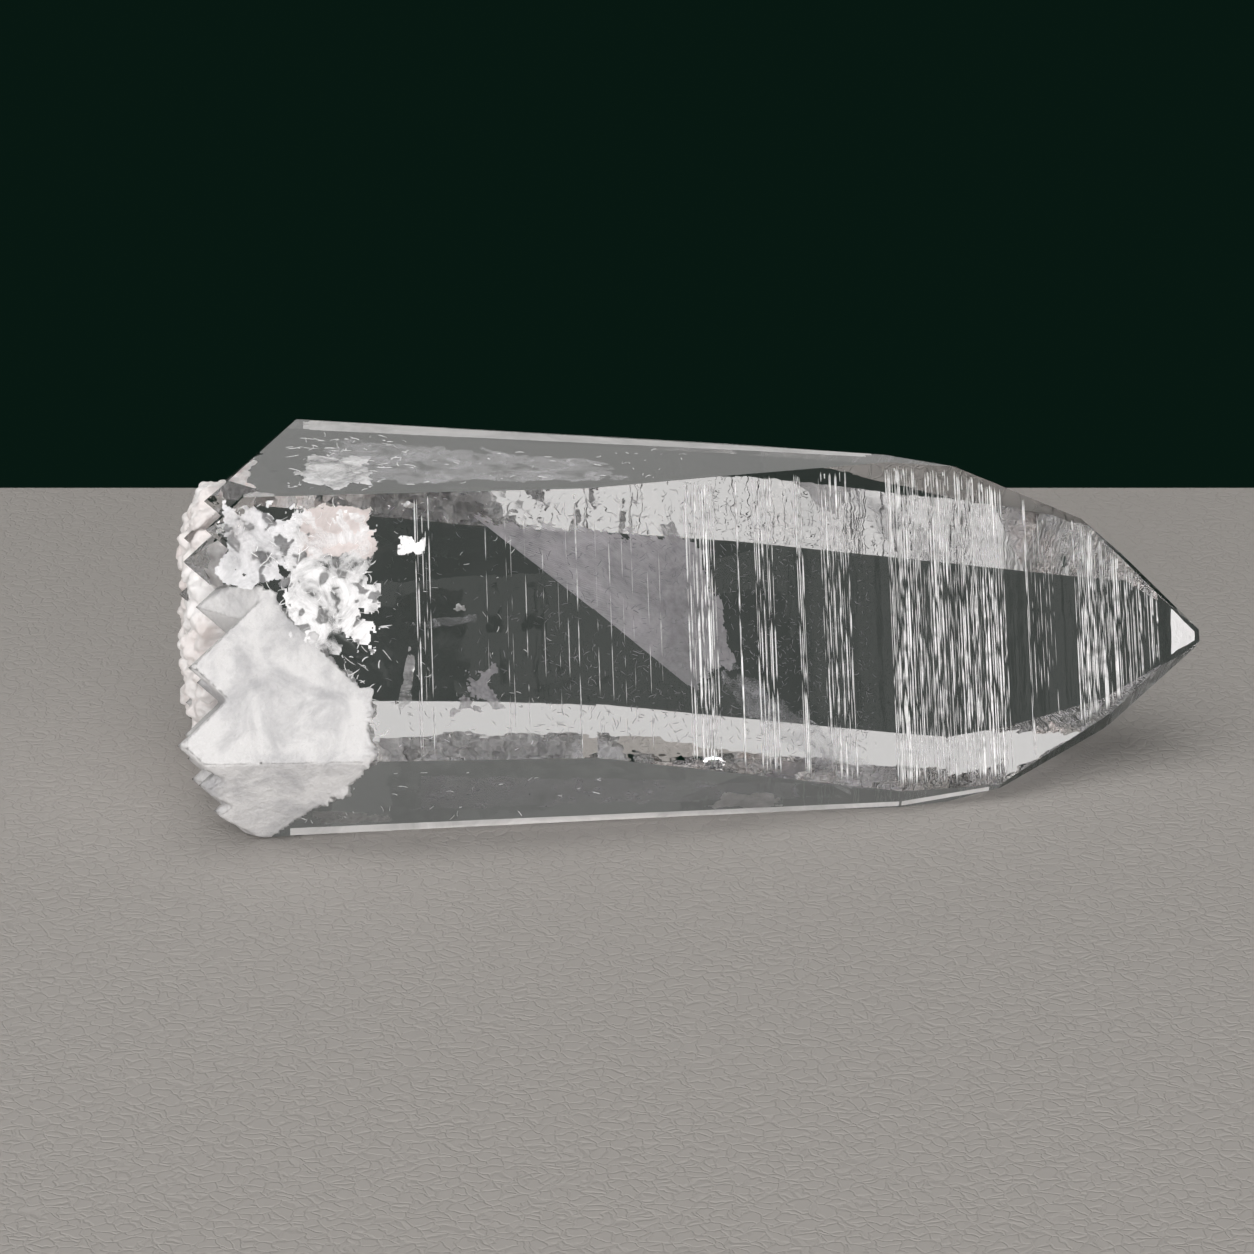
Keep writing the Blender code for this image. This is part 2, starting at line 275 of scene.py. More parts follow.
# Scratches: small curved ridges on a face: (face, x range, rise range, how many, length range,
# width, height). Every point of a scratch's path lies within MARK_GAP of the surface it marks.
MARK_GAP = 0.08
MARK_SIZES = (0.6, 1.3)
SCRATCH_STEPS = 5
SCRATCH_BEND = 0.22
SHORTEST_SCRATCH = 0.1
SCRATCHES = [
    ("front", (-46.0, -31.5), (-2.0, 11.5), 200, (0.3, 2.0), 0.11, 0.04),
    ("front", (-31.0, -14.0), (-14.0, 12.0), 60, (0.15, 0.8), 0.06, 0.02),
    ("front", (-35.0, -31.0), (-12.0, 0.0), 70, (0.3, 1.6), 0.11, 0.04),
    ("top", (-39.0, -27.0), (-11.0, 6.0), 90, (0.3, 2.0), 0.10, 0.03),
    ("top", (-27.0, 0.0), (-8.0, 2.0), 40, (0.3, 1.2), 0.08, 0.02),
    ("low_front", (-40.0, -10.0), (2.0, 11.0), 40, (0.3, 1.2), 0.08, 0.02),
]

# Fine etched scales of the middle of the front face, greyer, in the same terms.
ETCHED_SCALES = [
    ("front", (-16.0, 4.0), (-12.0, 13.0), 900, (0.2, 1.0), 0.05, 0.01),
    ("front", (4.0, 17.0), (-13.0, 11.0), 900, (0.15, 0.7), 0.05, 0.01),
    ("front", (-31.0, -16.0), (-13.0, 12.0), 160, (0.2, 0.9), 0.05, 0.01),
]

# Marks on the milky core, greyer than the core, in the same terms.
CORE_MARKS = [
    ("front", (-50.0, -32.0), (-13.5, 3.0), 260, (0.4, 2.6), 0.07, 0.05),
    ("low_front", (-50.0, -36.0), (1.0, 11.0), 90, (0.4, 2.4), 0.07, 0.05),
]

# Camera: it looks at TARGET from CAMERA_DISTANCE away, raised and turned by these angles.
TARGET = (-6.832, -3.672, 15.5)
CAMERA_DISTANCE = 513.8
CAMERA_RAISED = 20.0
CAMERA_TURNED = 4.0
LENS = 150.0

# Floor: it ends behind the crystal, as a table does. Only the part near the crystal is seen
# through the crystal; the rest would fill every face with its reflection.
FLOOR_Z = -0.2
FLOOR_SIDE = 1500.0
FLOOR_FRONT = -2000.0
FLOOR_REAR = 86.0
NEAR_X = (-66.8, 68.2)
NEAR_Y = (-38.7, 4.0)

# Soft boxes: (direction, height in degrees, distance, width, depth, radiance).
SOFT_BOXES = {
    "left_soft_box": (-122.0, 31.0, 1300.0, 1700.0, 1000.0, 0.66),
    "ceiling": (-110.0, 78.0, 1600.0, 1900.0, 1700.0, 0.64),
}

# The same for the other lights. The inner light and the low glow show only through the crystal,
# the rear gloss only in reflections, and the two fills light matt surfaces only.
INNER_LIGHT = (85.0, 48.0, 1500.0, 1300.0, 1100.0, 7.5)
REAR_GLOSS = (4.0, 22.0, 1500.0, 1100.0, 520.0, 0.8)
REAR_DIM = (-4.0, 23.0, 1490.0, 1100.0, 260.0, 0.11)
FILL_LIGHT = (-150.0, 70.0, 1700.0, 2600.0, 2600.0, 0.9)
LIGHT_TINT = (1.0, 0.975, 0.965)
FRONT_FILL = (175.0, 9.0, 1500.0, 2400.0, 500.0, 6.8)
LOW_GLOW = (3.0, -17.0, 700.0, 1700.0, 700.0, 0.046)


# ---------------------------------------------------------------- helpers

def at(point):
    """A point of the crystal's own measures, in metres in the frame."""
    return Vector([(a + b) * MM for a, b in zip(point, SHIFT)])


def material(name, **values):
    """A Principled material; the values are its sockets, with _ for a space."""
    made = bpy.data.materials.new(name)
    made.use_nodes = True
    shader = made.node_tree.nodes["Principled BSDF"]
    for socket, value in values.items():
        shader.inputs[socket.replace("_", " ")].default_value = value
    return made


def face_direction(face):
    """The outward direction of a prism face, as (y, z)."""
    angle = math.radians(FACES[face][0])
    return (-math.cos(angle), math.sin(angle))


def face_rise(face):
    """The direction up a prism face, as (y, z)."""
    angle = math.radians(FACES[face][0])
    return (math.sin(angle), math.cos(angle))


def profile_distance(face, x):
    """Distance of a face from the c axis at x."""
    knots = FACES[face][1]
    for (x0, d0), (x1, d1) in zip(knots, knots[1:]):
        if x <= x1:
            return d0 + (d1 - d0) * (x - x0) / (x1 - x0)
    return knots[-1][1]


def on_face(face, x, rise, depth=0.0):
    """A point on a prism face at x, rise mm up the face from its middle line, depth mm inside."""
    out_y, out_z = face_direction(face)
    up_y, up_z = face_rise(face)
    reach = profile_distance(face, x) - depth
    return at((x, AXIS[0] + out_y * reach + up_y * rise, AXIS[1] + out_z * reach + up_z * rise))


def face_edges(face, x):
    """How far a face runs below and above its middle line at x, up to the faces around it."""
    out, up = face_direction(face), face_rise(face)
    own = profile_distance(face, x)
    low, high = -BLOCK_REACH, BLOCK_REACH
    for other in FACES:
        direction = face_direction(other)
        along = direction[0] * up[0] + direction[1] * up[1]
        toward = direction[0] * out[0] + direction[1] * out[1]
        if abs(along) < 0.1:
            continue
        limit = (profile_distance(other, x) - own * toward) / along
        if along > 0.0:
            high = min(high, limit)
        else:
            low = max(low, limit)
    return low, high


def mesh_object(name, bm):
    """A mesh object from a bmesh, with outward faces."""
    bmesh.ops.recalc_face_normals(bm, faces=bm.faces)
    mesh = bpy.data.meshes.new(name)
    bm.to_mesh(mesh)
    bm.free()
    obj = bpy.data.objects.new(name, mesh)
    bpy.context.collection.objects.link(obj)
    return obj


# ---------------------------------------------------------------- stage

def rectangle(name, x_range, y_range, finish):
    """A flat rectangle of floor, turned to lie square to the camera."""
    turned = math.radians(CAMERA_TURNED)
    corners = []
    for x in x_range:
        for y in y_range:
            corners.append((
                (x * math.cos(turned) + y * math.sin(turned)) * MM,
                (y * math.cos(turned) - x * math.sin(turned)) * MM,
                FLOOR_Z * MM,
            ))
    mesh = bpy.data.meshes.new(name)
    mesh.from_pydata([corners[i] for i in (0, 2, 3, 1)], [], [(0, 1, 2, 3)])
    mesh.materials.append(finish)
    obj = bpy.data.objects.new(name, mesh)
    bpy.context.collection.objects.link(obj)
    return obj


def floor_material():
    """Pale, matt, with a fine crackle."""
    made = material("floor", Base_Color=(0.42, 0.40, 0.38, 1.0), Roughness=0.75)
    nodes, links = made.node_tree.nodes, made.node_tree.links
    place = nodes.new("ShaderNodeTexCoord")
    bend = nodes.new("ShaderNodeTexNoise")
    bend.inputs["Scale"].default_value = 500.0
    bend.inputs["Detail"].default_value = 2.0
    sway = nodes.new("ShaderNodeVectorMath")
    sway.operation = "MULTIPLY_ADD"
    sway.inputs[1].default_value = (0.0025, 0.0025, 0.0)
    crackle = nodes.new("ShaderNodeTexVoronoi")
    crackle.feature = "DISTANCE_TO_EDGE"
    crackle.inputs["Scale"].default_value = 760.0
    groove = nodes.new("ShaderNodeMapRange")
    groove.inputs["From Max"].default_value = 0.12
    bump = nodes.new("ShaderNodeBump")
    bump.inputs["Strength"].default_value = 0.5
    bump.inputs["Distance"].default_value = 0.00012
    links.new(place.outputs["Object"], bend.inputs["Vector"])
    links.new(bend.outputs["Color"], sway.inputs[0])
    links.new(place.outputs["Object"], sway.inputs[2])
    links.new(sway.outputs["Vector"], crackle.inputs["Vector"])
    links.new(crackle.outputs["Distance"], groove.inputs["Value"])
    links.new(groove.outputs["Result"], bump.inputs["Height"])
    links.new(bump.outputs["Normal"], nodes["Principled BSDF"].inputs["Normal"])
    return made


def floor():
    """The pale floor: a near patch and four far pieces; the rear one is not seen through quartz."""
    finish = floor_material()
    rectangle("floor_near", NEAR_X, NEAR_Y, finish)
    sides = (-FLOOR_SIDE, FLOOR_SIDE)
    pieces = {
        "front": (sides, (FLOOR_FRONT, NEAR_Y[0])),
        "left": ((sides[0], NEAR_X[0]), NEAR_Y),
        "right": ((NEAR_X[1], sides[1]), NEAR_Y),
        "rear": (sides, (NEAR_Y[1], FLOOR_REAR)),
    }
    for side, (x_range, y_range) in pieces.items():
        obj = rectangle(f"floor_{side}", x_range, y_range, finish)
        obj.visible_transmission = side != "rear"


def soft_box(name, azimuth, height, distance, width, depth, radiance):
    """A rectangular soft light that faces the crystal. Azimuth 0 is behind it, -90 to its left."""
    light = bpy.data.lights.new(name, "AREA")
    light.shape = "RECTANGLE"
    light.color = LIGHT_TINT
    light.size = width * MM
    light.size_y = depth * MM
    light.energy = radiance * math.pi * light.size * light.size_y
    obj = bpy.data.objects.new(name, light)
    bpy.context.collection.objects.link(obj)
    azimuth, height = math.radians(azimuth), math.radians(height)
    direction = Vector((
        math.sin(azimuth) * math.cos(height), math.cos(azimuth) * math.cos(height), math.sin(height)
    ))
    obj.location = direction * distance * MM
    obj.rotation_euler = (-direction).to_track_quat("-Z", "Y").to_euler()
    return obj


def lights():
    """Soft boxes, lights that show only in or on the crystal, two fills, and a dark room."""
    for name, values in SOFT_BOXES.items():
        soft_box(name, *values)
    soft_box("rear_dim", *REAR_DIM)
    inner = soft_box("inner_light", *INNER_LIGHT)
    inner.visible_glossy = False
    inner.visible_diffuse = False
    glow = soft_box("low_glow", *LOW_GLOW)
    glow.visible_glossy = False
    glow.visible_diffuse = False
    gloss = soft_box("rear_gloss", *REAR_GLOSS)
    gloss.visible_transmission = False
    gloss.visible_diffuse = False
    for name, values in (("fill_light", FILL_LIGHT), ("front_fill", FRONT_FILL)):
        fill = soft_box(name, *values)
        fill.visible_glossy = False
        fill.visible_transmission = False
    world = bpy.data.worlds.new("dark_room")
    world.use_nodes = True
    world.node_tree.nodes["Background"].inputs["Color"].default_value = (0.0025, 0.0093, 0.006, 1.0)
    bpy.context.scene.world = world


def camera():
    """The camera at the photo's angle."""
    raised = math.radians(CAMERA_RAISED)
    turned = math.radians(CAMERA_TURNED)
    forward = Vector((
        math.sin(turned) * math.cos(raised), math.cos(turned) * math.cos(raised), -math.sin(raised)
    ))
    data = bpy.data.cameras.new("camera")
    data.lens = LENS
    data.sensor_width = 36.0
    data.clip_start = 0.01
    obj = bpy.data.objects.new("camera", data)
    bpy.context.collection.objects.link(obj)
    obj.location = Vector(TARGET) * MM - forward * CAMERA_DISTANCE * MM
    obj.rotation_euler = forward.to_track_quat("-Z", "Y").to_euler()
    bpy.context.scene.camera = obj


# ---------------------------------------------------------------- crystal

def cut_away(bm, point, normal):
    """Cut off what lies beyond a plane, and close the cut."""
    geometry = bm.verts[:] + bm.edges[:] + bm.faces[:]
    bmesh.ops.bisect_plane(bm, geom=geometry, plane_co=point, plane_no=normal, clear_outer=True)
    rim = [edge for edge in bm.edges if edge.is_boundary]
    if rim:
        bmesh.ops.holes_fill(bm, edges=rim)


def slant_plane():
    """A point on the large slanted face and its outward normal."""
    corner, along, down = (at(point) for point in SLANT_POINTS)
    normal = (along - corner).cross(down - corner).normalized()
    if normal.z < 0.0:
        normal.negate()
    return corner, normal


def body(name, inset=0.0):
    """The crystal's main solid, inset mm inside its faces: a block cut by every stretch of face."""
    bm = bmesh.new()
    bmesh.ops.create_cube(bm, size=2.0 * BLOCK_REACH * MM)
    bmesh.ops.translate(bm, verts=bm.verts, vec=Vector((0.0, 0.0, 0.5 * BLOCK_REACH * MM)))
    cut_away(bm, at((START_X, 0.0, 0.0)), Vector((-1.0, 0.0, 0.0)))
    for face, (_, knots) in FACES.items():
        y, z = face_direction(face)
        for (x0, d0), (x1, d1) in zip(knots, knots[1:]):
            point = at((x0, AXIS[0] + y * (d0 - inset), AXIS[1] + z * (d0 - inset)))
            cut_away(bm, point, Vector(((d0 - d1) / (x1 - x0), y, z)).normalized())
    corner, normal = slant_plane()
    cut_away(bm, corner - normal * inset * MM, normal)
    return mesh_object(name, bm)


def hollow_cutter():
    """A very low ridge that hollows the base face between its ends."""
    bm = bmesh.new()
    rings = []
    for y in (-BLOCK_REACH, BLOCK_REACH):
        profile = [(HOLLOW_X[0], 0.0), (HOLLOW_X[1], HOLLOW_RISE), (HOLLOW_X[2], 0.0), (HOLLOW_X[1], -2.0)]
        rings.append([bm.verts.new(at((x, y, z))) for x, z in profile])
    bm.faces.new(rings[0])
    bm.faces.new(rings[1][::-1])
    for i in range(4):
        bm.faces.new((rings[0][i - 1], rings[0][i], rings[1][i], rings[1][i - 1]))
    return mesh_object("hollow_cutter", bm)


def pyramid(name, apex):
    """A long six-sided pyramid that opens towards +X, with its sides parallel to the prism."""
    bm = bmesh.new()
    top = bm.verts.new(at(apex))
    reach = PYRAMID_LENGTH * PYRAMID_TAN / math.cos(math.radians(30.0))
    ring = []
    for angle, _ in FACES.values():
        corner = math.radians(angle + 30.0)
        y = apex[1] - reach * math.cos(corner)
        z = apex[2] + reach * math.sin(corner)
        ring.append(bm.verts.new(at((apex[0] + PYRAMID_LENGTH, y, z))))
    for i in range(6):
        bm.faces.new((top, ring[i - 1], ring[i]))
    bm.faces.new(ring)
    return mesh_object(name, bm)


def inside_prism(x, y, z):
    """True where a point of the net lies well inside every prism face."""
    for face in FACES:
        direction = face_direction(face)
        reach = (y - AXIS[0]) * direction[0] + (z - AXIS[1]) * direction[1]
        margin = NET_FRONT_MARGIN if face == "front" else NET_MARGIN
        if reach > profile_distance(face, x) - margin:
            return False
    return True


def pyramid_apexes():
    """Apexes of the broken end: the named corners and a jittered net between them."""
    random.seed(11)
    apexes = list(CORNER_PYRAMIDS)
    row_step = NET_STEP * math.cos(math.radians(30.0))
    for row in NET_ROWS:
        for column in NET_COLUMNS:
            offset = (column + 0.5 * (row % 2)) * NET_STEP
            y = AXIS[0] + offset + random.uniform(-NET_JITTER, NET_JITTER)
            z = AXIS[1] + row * row_step - NET_DROP + random.uniform(-NET_JITTER, NET_JITTER)
            x = NET_X + random.uniform(-NET_JITTER, NET_JITTER)
            near = min(math.dist((y, z), apex[1:]) for apex in apexes)
            if inside_prism(x, y, z) and near > NET_NEAREST * NET_STEP:
                apexes.append((x, y, z))
    return apexes


def combine(obj, operation, others):
    """Join, cut or intersect an object with others, exactly, and remove those."""
    group = bpy.data.collections.new("operands")
    for other in others:
        group.objects.link(other)
    modifier = obj.modifiers.new(operation, "BOOLEAN")
    modifier.operation = operation
    modifier.solver = "EXACT"
    modifier.operand_type = "COLLECTION"
    modifier.collection = group
    graph = bpy.context.evaluated_depsgraph_get()
    mesh = bpy.data.meshes.new_from_object(obj.evaluated_get(graph))
    obj.modifiers.clear()
    obj.data = mesh
    for other in others:
        bpy.data.objects.remove(other)
    bpy.data.collections.remove(group)


def pyramid_cluster():
    """The union of all pyramids of the broken end."""
    pyramids = [pyramid(f"pyramid_{i}", apex) for i, apex in enumerate(pyramid_apexes())]
    combine(pyramids[0], "UNION", pyramids[1:])
    return pyramids[0]


def broken_end(obj, cluster, inset=0.0):
    """Shape the rear end of a body by the pyramid cluster, moved inset mm into the crystal."""
    copy = bpy.data.objects.new("cluster_copy", cluster.data.copy())
    bpy.context.collection.objects.link(copy)
    for vert in copy.data.vertices:
        vert.co.x += inset / PYRAMID_TAN * MM
    combine(obj, "INTERSECT", [copy])


def quartz_material():
    """Clear quartz with faintly wavy faces."""
    made = material(
        "clear_quartz", Base_Color=(1.0, 1.0, 1.0, 1.0), Roughness=0.0,
        IOR=1.544, Transmission_Weight=1.0,
    )
    nodes, links = made.node_tree.nodes, made.node_tree.links
    place = nodes.new("ShaderNodeTexCoord")
    wave = nodes.new("ShaderNodeTexNoise")
    wave.inputs["Scale"].default_value = 140.0
    wave.inputs["Detail"].default_value = 3.0
    bump = nodes.new("ShaderNodeBump")
    bump.inputs["Strength"].default_value = 0.5
    bump.inputs["Distance"].default_value = 0.00006
    links.new(place.outputs["Object"], wave.inputs["Vector"])
    links.new(wave.outputs["Fac"], bump.inputs["Height"])
    links.new(bump.outputs["Normal"], nodes["Principled BSDF"].inputs["Normal"])
    return made


def crystal(cluster):
    """The crystal's own surface, as clear quartz."""
    obj = body("crystal")
    combine(obj, "DIFFERENCE", [hollow_cutter()])
    broken_end(obj, cluster)
    bm = bmesh.new()
    bm.from_mesh(obj.data)
    bmesh.ops.remove_doubles(bm, verts=bm.verts, dist=1e-6)
    bmesh.ops.dissolve_limit(bm, angle_limit=math.radians(0.2), verts=bm.verts, edges=bm.edges)
    bmesh.ops.triangulate(bm, faces=bm.faces)
    bm.to_mesh(obj.data)
    bm.free()
    obj.data.materials.clear()
    obj.data.materials.append(quartz_material())
    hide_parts(NODE)
    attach(obj, "root")
    return obj


# ---------------------------------------------------------------- growth lines

def add_blade(bm, points, side, outward, width, height):
    """Add a long low ridge along points, pointed at both ends, sunk a little into its face."""
    sink = outward * LINE_SINK * MM
    rings = []
    for i, point in enumerate(points):
        if i in (0, len(points) - 1):
            rings.append([bm.verts.new(point - sink)])
            continue
        rings.append([
            bm.verts.new(point - side * 0.5 * width * MM - sink),
            bm.verts.new(point + outward * height * MM),
            bm.verts.new(point + side * 0.5 * width * MM - sink),
        ])
    for ring, following in zip(rings, rings[1:]):
        for i in range(3):
            if len(ring) == 1:
                bm.faces.new((ring[0], following[i], following[i - 1]))
            elif len(following) == 1:
                bm.faces.new((ring[i - 1], ring[i], following[0]))
            else:
                bm.faces.new((ring[i - 1], ring[i], following[i], following[i - 1]))


def growth_line(bm, x, height, strong):
    """One growth line across the front face: a row of dashes."""
    outward = Vector((0.0, *face_direction("front")))
    side = Vector((1.0, 0.0, 0.0))
    start_within, stop_within, longer, wider, sparser = STRONG_LINE if strong else WEAK_LINE
    low, high = face_edges("front", x)
    rise = low + LINE_MARGIN + random.uniform(0.0, start_within)
    stop = high - LINE_MARGIN - random.uniform(0.0, stop_within)
    while rise < stop:
        length = random.uniform(*DASH_LENGTH) * longer
        end = min(rise + length, stop)
        count = max(2, int(length / DASH_STEP))
        points = []
        for i in range(count + 1):
            t = rise + (end - rise) * i / count
            sway = LINE_SWAY * noise.noise(Vector((x * 3.0, t * 0.5, 7.0)))
            points.append(on_face("front", x + sway, t))
        width = random.uniform(*LINE_WIDTH) * wider
        if end - rise > SHORTEST_DASH:
            add_blade(bm, points, side, outward, width, height * random.uniform(*LINE_HEIGHTS))
        rise = end + random.uniform(*DASH_GAP) * sparser


def surface_tree(obj):
    """A search tree of an object's triangles."""
    points = [vert.co for vert in obj.data.vertices]
    return BVHTree.FromPolygons(points, [list(polygon.vertices) for polygon in obj.data.polygons])


def scratch(bm, tree, face, x, rise, length, width, height):
    """One small curved ridge on a face, at a random angle, left out where the face is missing."""
    outward = Vector((0.0, *face_direction(face)))
    heading = random.uniform(0.0, 2.0 * math.pi)
    bend = random.gauss(0.0, SCRATCH_BEND)
    points = []
    for _ in range(SCRATCH_STEPS + 1):
        points.append(on_face(face, x, rise))
        x += math.cos(heading) * length / SCRATCH_STEPS
        rise += math.sin(heading) * length / SCRATCH_STEPS
        heading += bend
    side = (points[-1] - points[0]).cross(outward)
    gap = max(tree.find_nearest(point)[3] for point in points)
    if side.length > SHORTEST_SCRATCH * MM and gap < MARK_GAP * MM:
        add_blade(bm, points, side.normalized(), outward, width, height)


def marks(name, groups, finish, surface):
    """Small curved growth marks and cracks on the faces of a surface, as one piece."""
    bm = bmesh.new()
    tree = surface_tree(surface)
    for face, x_range, rise_range, count, lengths, width, height in groups:
        for _ in range(count):
            x = random.uniform(*x_range)
            rise = random.uniform(*rise_range)
            low, high = face_edges(face, x)
            length = random.uniform(*lengths)
            if low + length < rise < high - length:
                size = random.uniform(*MARK_SIZES)
                scratch(bm, tree, face, x, rise, length, width * size, height * size)
    obj = mesh_object(name, bm)
    obj.data.materials.append(finish)
    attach(obj, "root")
    return obj


def frost_and_glint(name, color):
    """Fine frosted quartz for lines and marks, uneven along its length; on the growth lines its white is
    painted glint.
    """
    made = material(name, Base_Color=color, Roughness=0.22, IOR=1.8)
    nodes, links = made.node_tree.nodes, made.node_tree.links
    shader = nodes["Principled BSDF"]
    place = nodes.new("ShaderNodeTexCoord")
    patches = nodes.new("ShaderNodeTexNoise")
    patches.inputs["Scale"].default_value = 900.0
    ramp = nodes.new("ShaderNodeValToRGB")
    ramp.color_ramp.elements[0].position = 0.3
    ramp.color_ramp.elements[0].color = tuple(0.55 * value for value in color[:3]) + (1.0,)
    ramp.color_ramp.elements[1].position = 0.5
    ramp.color_ramp.elements[1].color = color
    links.new(place.outputs["Object"], patches.inputs["Vector"])
    links.new(patches.outputs["Fac"], ramp.inputs["Fac"])
    links.new(ramp.outputs["Color"], shader.inputs["Base Color"])
    return made


def scratches(quartz, core):
    """The marks of the clear faces and those of the milky core."""
    random.seed(8)
    bright = frost_and_glint("frosted_marks", (0.96, 0.96, 0.97, 1.0))
    marks("growth_marks", SCRATCHES, bright, quartz)
    grey = frost_and_glint("etched_quartz", (0.34, 0.34, 0.36, 1.0))
    marks("etched_scales", ETCHED_SCALES, grey, quartz)
    pale = frost_and_glint("core_marks", (0.62, 0.62, 0.64, 1.0))
    marks("core_marks", CORE_MARKS, pale, core)


def growth_lines():
    """All growth lines as one piece of frosted quartz: the ridges are the real growth lines, and their
    white is painted glint.
    """
    random.seed(3)
    bm = bmesh.new()
    for first, last, count, height, share in GROWTH_LINES:
        step = (last - first) / count
        for i in range(count):
            strong = random.random() < share
            growth_line(bm, first + (i + random.uniform(0.1, 0.9)) * step, height, strong)
    obj = mesh_object("growth_lines", bm)
    # White frost on the lines: painted glints of light on the growth steps.
    obj.data.materials.append(frost_and_glint("painted_glint_lines", (0.98, 0.98, 0.985, 1.0)))
    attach(obj, "root")


# ---------------------------------------------------------------- milky core and crust

def core_cut(bm, face, first, second):
    """Cut the core by a plane square to a face, through two points of it; the far side goes."""
    start, end = (on_face(face, *point) for point in (first, second))
    outward = Vector((0.0, *face_direction(face)))
    normal = outward.cross(end - start).normalized()
    cut_away(bm, start, normal)


def voxel_shape(obj, voxel, smooth_steps):
    """Rebuild an object's mesh in small even cells and soften it."""
    remesh = obj.modifiers.new("remesh", "REMESH")
    remesh.mode = "VOXEL"
    remesh.voxel_size = voxel * MM
    soften = obj.modifiers.new("soften", "SMOOTH")
    soften.iterations = smooth_steps
    graph = bpy.context.evaluated_depsgraph_get()
    mesh = bpy.data.meshes.new_from_object(obj.evaluated_get(graph))
    obj.modifiers.clear()
    obj.data = mesh


def roughen(obj, layers):
    """Push every vertex along its normal by layers of noise, each (size in mm, depth in mm)."""
    normals = [vert.normal.copy() for vert in obj.data.vertices]
    for vert, normal in zip(obj.data.vertices, normals):
        push = sum(depth * noise.noise(vert.co / (size * MM)) for size, depth in layers)
        vert.co += normal * push * MM


def milky_core(cluster):
    """The milky, icy mass inside the lower rear corner."""
    obj = body("milky_core", CORE_INSET)
    bm = bmesh.new()
    bm.from_mesh(obj.data)
    for face, first, second in CORE_CUTS:
        core_cut(bm, face, first, second)
    bmesh.ops.recalc_face_normals(bm, faces=bm.faces)
    bm.to_mesh(obj.data)
    bm.free()
    broken_end(obj, cluster, CORE_INSET)
    voxel_shape(obj, CORE_VOXEL, 0)
    normals = [vert.normal.copy() for vert in obj.data.vertices]
    for vert, normal in zip(obj.data.vertices, normals):
        if normal.x > CORE_INNER_SIDE:
            push = noise.fractal(vert.co / (CORE_RELIEF_SIZE * MM), 0.6, 2.0, 4)
            vert.co += normal * push * CORE_RELIEF * MM
    obj.data.polygons.foreach_set("use_smooth", [True] * len(obj.data.polygons))
    obj.data.materials.clear()
    obj.data.materials.append(milky_material())
    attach(obj, "root")
    return obj


def milky_material():
    """White, slightly uneven quartz with a scaly, flaky grain."""
    made = material(
        "milky_quartz", Base_Color=(0.92, 0.92, 0.92, 1.0), Roughness=0.4, IOR=1.45,
        Subsurface_Weight=0.5, Subsurface_Scale=0.002, Subsurface_Radius=(1.0, 1.0, 1.0),
        Coat_Weight=0.5, Coat_Roughness=0.08,
    )
    nodes, links = made.node_tree.nodes, made.node_tree.links
    shader = nodes["Principled BSDF"]
    place = nodes.new("ShaderNodeTexCoord")
    cloud = nodes.new("ShaderNodeTexNoise")
    cloud.inputs["Scale"].default_value = 240.0
    cloud.inputs["Detail"].default_value = 8.0
    cloud.inputs["Roughness"].default_value = 0.62
    cloud.inputs["Distortion"].default_value = 0.6
    ramp = nodes.new("ShaderNodeValToRGB")
    ramp.color_ramp.elements[0].position = 0.32
    ramp.color_ramp.elements[0].color = (0.45, 0.45, 0.464, 1.0)
    ramp.color_ramp.elements[1].position = 0.56
    ramp.color_ramp.elements[1].color = (0.69, 0.686, 0.689, 1.0)
    flakes = nodes.new("ShaderNodeTexVoronoi")
    flakes.inputs["Scale"].default_value = 620.0
    flakes.inputs["Detail"].default_value = 3.0
    flakes.inputs["Roughness"].default_value = 0.7
    bump = nodes.new("ShaderNodeBump")
    bump.inputs["Strength"].default_value = 0.35
    bump.inputs["Distance"].default_value = 0.0004
    links.new(place.outputs["Object"], cloud.inputs["Vector"])
    links.new(place.outputs["Object"], flakes.inputs["Vector"])
    links.new(cloud.outputs["Fac"], ramp.inputs["Fac"])
    links.new(ramp.outputs["Color"], shader.inputs["Base Color"])
    links.new(flakes.outputs["Distance"], bump.inputs["Height"])
    links.new(bump.outputs["Normal"], shader.inputs["Normal"])
    return made


def crust_material():
    """Pinkish white crust, fine grained, darker and pinker in random patches."""
    made = material(
        "crust", Base_Color=(0.95, 0.9, 0.89, 1.0), Roughness=0.55,
        Subsurface_Weight=0.4, Subsurface_Scale=0.001, Subsurface_Radius=(1.0, 1.0, 1.0),
    )
    nodes, links = made.node_tree.nodes, made.node_tree.links
    shader = nodes["Principled BSDF"]
    place = nodes.new("ShaderNodeTexCoord")
    tint = nodes.new("ShaderNodeTexNoise")
    tint.inputs["Scale"].default_value = 180.0
    tint.inputs["Detail"].default_value = 5.0
    ramp = nodes.new("ShaderNodeValToRGB")
    ramp.color_ramp.elements[0].position = 0.35
    ramp.color_ramp.elements[0].color = (0.90, 0.83, 0.81, 1.0)
    ramp.color_ramp.elements[1].position = 0.6
    ramp.color_ramp.elements[1].color = (0.97, 0.95, 0.945, 1.0)
    grain = nodes.new("ShaderNodeTexNoise")
    grain.inputs["Scale"].default_value = 2200.0
    grain.inputs["Detail"].default_value = 4.0
    bump = nodes.new("ShaderNodeBump")
    bump.inputs["Strength"].default_value = 0.5
    bump.inputs["Distance"].default_value = 0.0002
    links.new(place.outputs["Object"], tint.inputs["Vector"])
    links.new(place.outputs["Object"], grain.inputs["Vector"])
    links.new(tint.outputs["Fac"], ramp.inputs["Fac"])
    links.new(ramp.outputs["Color"], shader.inputs["Base Color"])
    links.new(grain.outputs["Fac"], bump.inputs["Height"])
    links.new(bump.outputs["Normal"], shader.inputs["Normal"])
    return made


